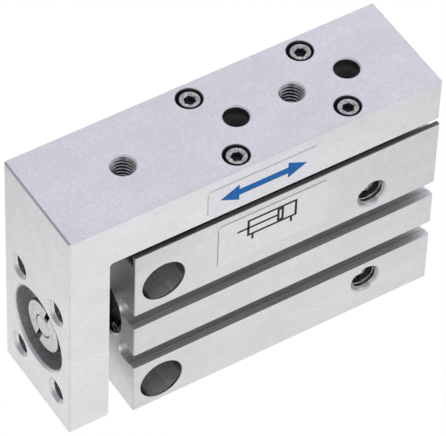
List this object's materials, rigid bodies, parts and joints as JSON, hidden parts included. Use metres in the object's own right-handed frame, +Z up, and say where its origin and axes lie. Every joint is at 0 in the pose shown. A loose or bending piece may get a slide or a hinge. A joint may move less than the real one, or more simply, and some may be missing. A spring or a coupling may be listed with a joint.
{
  "type": "pneumatic slide table",
  "caption": "Compact guided pneumatic cylinder: an L-shaped yoke on a ball-cage guide, moved along a square housing by a piston rod; side air ports, sensor slots and through holes.",
  "frame": {"origin": "middle of the housing's base under the middle of the whole length and width", "axes": "+X along the travel, away from the front plate (the yoke extends towards -X); +Y across the width, away from the air ports; +Z up from the base to the yoke's top plate"},
  "size_m": [0.0666, 0.0196, 0.0457],
  "materials": {
    "housing_aluminium": "brushed, clear anodised",
    "yoke_aluminium": "ground and brushed, clear anodised",
    "rail_steel": "ground",
    "carriage_steel": "hardened, ground",
    "screw_steel": "stainless, turned",
    "black_anodised": "black anodised",
    "bronze": "sintered",
    "seal_rubber": "moulded",
    "spring_steel": "phosphated",
    "pad_rubber": "moulded",
    "cap_aluminium": "turned",
    "ball_steel": "polished",
    "rod_steel": "ground and polished",
    "nut_steel": "turned",
    "piston_aluminium": "turned",
    "magnet": "sintered",
    "guide_plastic": "moulded",
    "cage_brass": "rolled"
  },
  "bodies": {
    "housing": {"housing": "housing_aluminium", "guide_rail": "rail_steel", "rail_screws": "screw_steel", "bearing_cap": "black_anodised", "rod_bush": "bronze", "rod_wiper": "seal_rubber", "rod_seal": "seal_rubber", "cap_o_ring": "seal_rubber", "front_retaining_ring": "spring_steel", "front_cushion": "pad_rubber", "rear_cushion": "pad_rubber", "rear_end_cap": "cap_aluminium", "rear_o_ring": "seal_rubber", "rear_retaining_ring": "spring_steel", "passage_plugs": "ball_steel"},
    "slide": {"slide_yoke": "yoke_aluminium", "carriage": "carriage_steel", "carriage_screws": "screw_steel", "piston_rod": "rod_steel", "slotted_nut": "nut_steel", "lock_nut": "nut_steel", "piston": "piston_aluminium", "piston_disc": "piston_aluminium", "piston_magnet": "magnet", "piston_guide_ring": "guide_plastic", "piston_seals": "seal_rubber"},
    "cage": {"ball_cage": "cage_brass", "guide_balls": "ball_steel"}
  },
  "joints": [
    {"name": "slide_travel", "type": "slide", "parent": "housing", "child": "slide", "axis": [-1, 0, 0], "range_m": [0, 0.02]},
    {"name": "cage_travel", "type": "slide", "parent": "housing", "child": "cage", "axis": [-1, 0, 0], "range_m": [0, 0.01]}
  ],
  "couplings": [
    {"joint": "cage_travel", "follows": "slide_travel", "ratio": 0.5}
  ]
}
